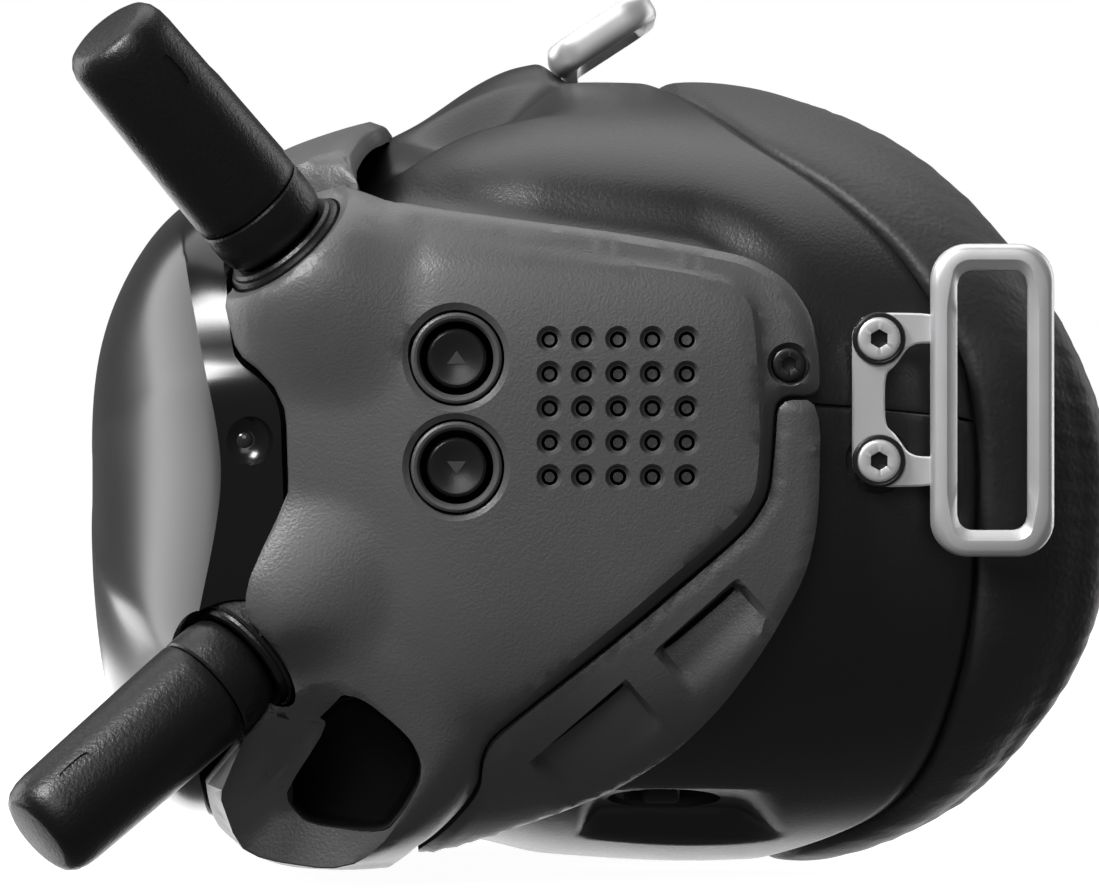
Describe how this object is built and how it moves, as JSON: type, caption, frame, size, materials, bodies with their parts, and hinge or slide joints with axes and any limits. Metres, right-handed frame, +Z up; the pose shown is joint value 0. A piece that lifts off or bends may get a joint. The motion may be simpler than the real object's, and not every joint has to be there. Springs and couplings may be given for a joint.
{
  "type": "fpv goggles",
  "caption": "Video goggles for flying model aircraft: bowed gloss front, grey side shells, stub antennas, face foam and steel strap loops.",
  "frame": {"origin": "centre of the bounding box at the underside", "axes": "+X towards the wearer's left, +Y back towards the face, +Z up"},
  "size_m": [0.1996, 0.1458, 0.1216],
  "materials": {
    "board_green": "matte",
    "core_black": "satin",
    "dark_steel": "satin",
    "display_glass": "gloss",
    "foam_black": "soft grained",
    "gloss_black": "gloss",
    "lens_glass": "polished",
    "satin_steel": "satin",
    "shell_grey": "fine matte",
    "soft_black": "matte"
  },
  "bodies": {
    "root_body": {"antenna_lower_left_seat": "soft_black", "antenna_lower_right_seat": "soft_black", "antenna_upper_left_seat": "soft_black", "antenna_upper_right_seat": "soft_black", "button_down_bezel": "shell_grey", "button_up_bezel": "shell_grey", "face_foam": "foam_black", "face_plate": "soft_black", "fan_frame": "soft_black", "front_cover": "gloss_black", "lower_trim_left": "shell_grey", "lower_trim_right": "shell_grey", "main_board": "board_green", "main_shell": "shell_grey", "port_tray_left": "soft_black", "port_tray_right": "soft_black", "rear_shell_lower": "core_black", "rear_shell_upper": "core_black", "shell_screw_left": "dark_steel", "shell_screw_right": "dark_steel", "strap_loop_left": "satin_steel", "strap_loop_right": "satin_steel", "strap_loop_top": "satin_steel", "strap_screw_lower_left": "satin_steel", "strap_screw_lower_right": "satin_steel", "strap_screw_upper_left": "satin_steel", "strap_screw_upper_right": "satin_steel", "vent_grille": "soft_black"},
    "antenna_upper_left_nut_body": {"antenna_upper_left_nut": "soft_black"},
    "antenna_upper_left_sleeve_body": {"antenna_upper_left_sleeve": "soft_black"},
    "antenna_upper_right_nut_body": {"antenna_upper_right_nut": "soft_black"},
    "antenna_upper_right_sleeve_body": {"antenna_upper_right_sleeve": "soft_black"},
    "antenna_lower_left_nut_body": {"antenna_lower_left_nut": "soft_black"},
    "antenna_lower_left_sleeve_body": {"antenna_lower_left_sleeve": "soft_black"},
    "antenna_lower_right_nut_body": {"antenna_lower_right_nut": "soft_black"},
    "antenna_lower_right_sleeve_body": {"antenna_lower_right_sleeve": "soft_black"},
    "button_up_body": {"button_up": "gloss_black"},
    "button_down_body": {"button_down": "gloss_black"},
    "back_button_body": {"back_button": "soft_black"},
    "record_button_body": {"record_button": "soft_black"},
    "joystick_carriage_body": {"joystick_carriage": "soft_black"},
    "joystick_ring_body": {"joystick_ring": "soft_black"},
    "joystick_cap_body": {"joystick_cap": "soft_black"},
    "eye_unit_left": {"lens_barrel_left": "soft_black", "eye_lens_left": "lens_glass", "display_left": "display_glass", "ipd_knob_left": "soft_black"},
    "eye_unit_right": {"lens_barrel_right": "soft_black", "eye_lens_right": "lens_glass", "display_right": "display_glass", "ipd_knob_right": "soft_black"},
    "fan_rotor_body": {"fan_rotor": "soft_black"}
  },
  "joints": [
    {"name": "antenna_upper_left_nut_turn", "type": "hinge", "parent": "root_body", "child": "antenna_upper_left_nut_body", "pos_m": [0.08, -0.0368, 0.08508], "axis": [0.3577, -0.5965, 0.7184], "continuous": true},
    {"name": "antenna_upper_left_sleeve_turn", "type": "hinge", "parent": "antenna_upper_left_nut_body", "child": "antenna_upper_left_sleeve_body", "pos_m": [0.08, -0.0368, 0.08508], "axis": [0.3577, -0.5965, 0.7184], "continuous": true},
    {"name": "antenna_upper_right_nut_turn", "type": "hinge", "parent": "root_body", "child": "antenna_upper_right_nut_body", "pos_m": [-0.08, -0.0368, 0.08508], "axis": [-0.3577, -0.5965, 0.7184], "continuous": true},
    {"name": "antenna_upper_right_sleeve_turn", "type": "hinge", "parent": "antenna_upper_right_nut_body", "child": "antenna_upper_right_sleeve_body", "pos_m": [-0.08, -0.0368, 0.08508], "axis": [-0.3577, -0.5965, 0.7184], "continuous": true},
    {"name": "antenna_lower_left_nut_turn", "type": "hinge", "parent": "root_body", "child": "antenna_lower_left_nut_body", "pos_m": [0.08, -0.0418, 0.03108], "axis": [0.3584, -0.7008, -0.6167], "continuous": true},
    {"name": "antenna_lower_left_sleeve_turn", "type": "hinge", "parent": "antenna_lower_left_nut_body", "child": "antenna_lower_left_sleeve_body", "pos_m": [0.08, -0.0418, 0.03108], "axis": [0.3584, -0.7008, -0.6167], "continuous": true},
    {"name": "antenna_lower_right_nut_turn", "type": "hinge", "parent": "root_body", "child": "antenna_lower_right_nut_body", "pos_m": [-0.08, -0.0418, 0.03108], "axis": [-0.3584, -0.7008, -0.6167], "continuous": true},
    {"name": "antenna_lower_right_sleeve_turn", "type": "hinge", "parent": "antenna_lower_right_nut_body", "child": "antenna_lower_right_sleeve_body", "pos_m": [-0.08, -0.0418, 0.03108], "axis": [-0.3584, -0.7008, -0.6167], "continuous": true},
    {"name": "button_up_press", "type": "slide", "parent": "root_body", "child": "button_up_body", "axis": [-1, 0, 0], "range_m": [0, 0.0008], "stiffness_N_per_m": 400},
    {"name": "button_down_press", "type": "slide", "parent": "root_body", "child": "button_down_body", "axis": [-1, 0, 0], "range_m": [0, 0.0008], "stiffness_N_per_m": 400},
    {"name": "back_button_press", "type": "slide", "parent": "root_body", "child": "back_button_body", "axis": [1, 0, 0], "range_m": [0, 0.0005], "stiffness_N_per_m": 400},
    {"name": "record_button_press", "type": "slide", "parent": "root_body", "child": "record_button_body", "axis": [1, 0, 0], "range_m": [0, 0.0005], "stiffness_N_per_m": 400},
    {"name": "joystick_press", "type": "slide", "parent": "root_body", "child": "joystick_carriage_body", "axis": [1, 0, 0], "range_m": [0, 0.0005], "stiffness_N_per_m": 400},
    {"name": "joystick_up_down", "type": "hinge", "parent": "joystick_carriage_body", "child": "joystick_ring_body", "pos_m": [-0.0859, -0.014, 0.06458], "axis": [0, 1, 0], "range_deg": [-7, 7], "stiffness_Nm_per_rad": 0.02},
    {"name": "joystick_front_back", "type": "hinge", "parent": "joystick_ring_body", "child": "joystick_cap_body", "pos_m": [-0.0859, -0.014, 0.06458], "axis": [0, 0, 1], "range_deg": [-7, 7], "stiffness_Nm_per_rad": 0.02},
    {"name": "eye_distance_left", "type": "slide", "parent": "root_body", "child": "eye_unit_left", "axis": [1, 0, 0], "range_m": [-0.003, 0.003]},
    {"name": "eye_distance_right", "type": "slide", "parent": "root_body", "child": "eye_unit_right", "axis": [-1, 0, 0], "range_m": [-0.003, 0.003]},
    {"name": "fan_spin", "type": "hinge", "parent": "root_body", "child": "fan_rotor_body", "pos_m": [0.064, -0.0138, 0.06258], "axis": [1, 0, 0], "continuous": true}
  ]
}
